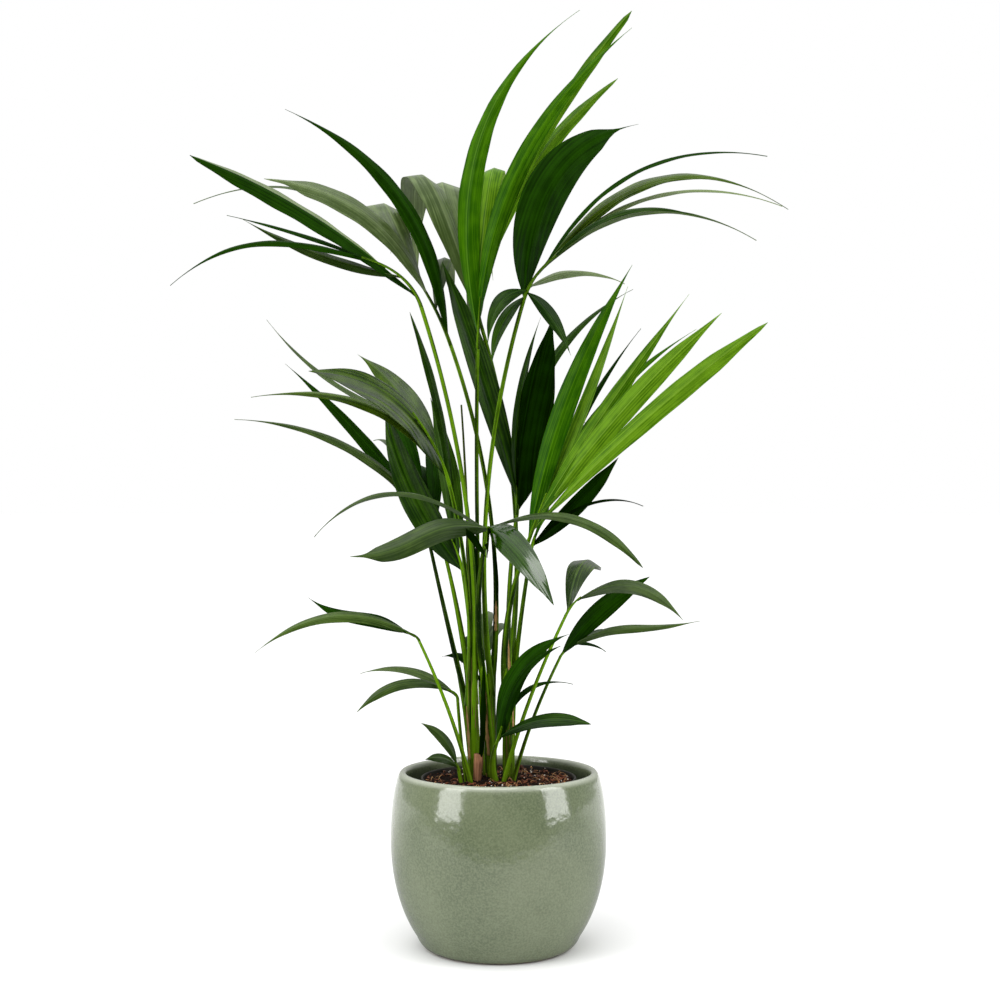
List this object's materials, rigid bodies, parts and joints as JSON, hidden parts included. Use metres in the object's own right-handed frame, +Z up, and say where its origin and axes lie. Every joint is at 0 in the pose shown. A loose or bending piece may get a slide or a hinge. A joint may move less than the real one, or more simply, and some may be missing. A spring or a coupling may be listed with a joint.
{
  "type": "potted palm",
  "caption": "Kentia palm in a round glazed pot: a clump of three short stems with arching pinnate fronds of pointed leaflets.",
  "frame": {"origin": "centre of the pot's flat underside, on the surface it stands on", "axes": "+Z up along the pot's axis, +X to the right of the side that the plant shows best, +Y away from that side"},
  "size_m": [0.7615, 0.4525, 1.1901],
  "materials": {
    "glazed_pot": "glossy sage green glaze with a fine mottle",
    "nursery_plastic": "dark thin plastic",
    "potting_mix": "moist coir and peat",
    "stem_sheath": "smooth fibrous leaf sheaths",
    "petiole": "smooth, slightly waxy",
    "leaf": "satin leaf with a fine length-wise pleat",
    "dry_sheath": "dry papery fibre"
  },
  "bodies": {
    "root": {"pot": "glazed_pot", "nursery_pot": "nursery_plastic", "soil": "potting_mix", "stem_left": "stem_sheath", "stem_middle": "stem_sheath", "stem_right": "stem_sheath", "petiole_high_left": "petiole", "frond_high_left": "leaf", "petiole_upper_left": "petiole", "frond_upper_left": "leaf", "petiole_crown": "petiole", "frond_crown": "leaf", "petiole_high_back": "petiole", "frond_high_back": "leaf", "petiole_upper_right": "petiole", "frond_upper_right": "leaf", "petiole_heart": "petiole", "frond_heart": "leaf", "petiole_middle_right": "petiole", "frond_middle_right": "leaf", "petiole_shaded_right": "petiole", "frond_shaded_right": "leaf", "petiole_middle_left": "petiole", "frond_middle_left": "leaf", "petiole_shaded_left": "petiole", "frond_shaded_left": "leaf", "petiole_back_left": "petiole", "frond_back_left": "leaf", "petiole_inner_left": "petiole", "frond_inner_left": "leaf", "petiole_front": "petiole", "frond_front": "leaf", "petiole_low_right": "petiole", "frond_low_right": "leaf", "petiole_lower_right": "petiole", "frond_lower_right": "leaf", "petiole_front_right": "petiole", "frond_front_right": "leaf", "petiole_low_left": "petiole", "frond_low_left": "leaf", "petiole_lower_left": "petiole", "frond_lower_left": "leaf", "petiole_back_low": "petiole", "frond_back_low": "leaf", "petiole_foot_left": "petiole", "frond_foot_left": "leaf", "spear": "petiole", "husk": "dry_sheath"}
  },
  "joints": []
}
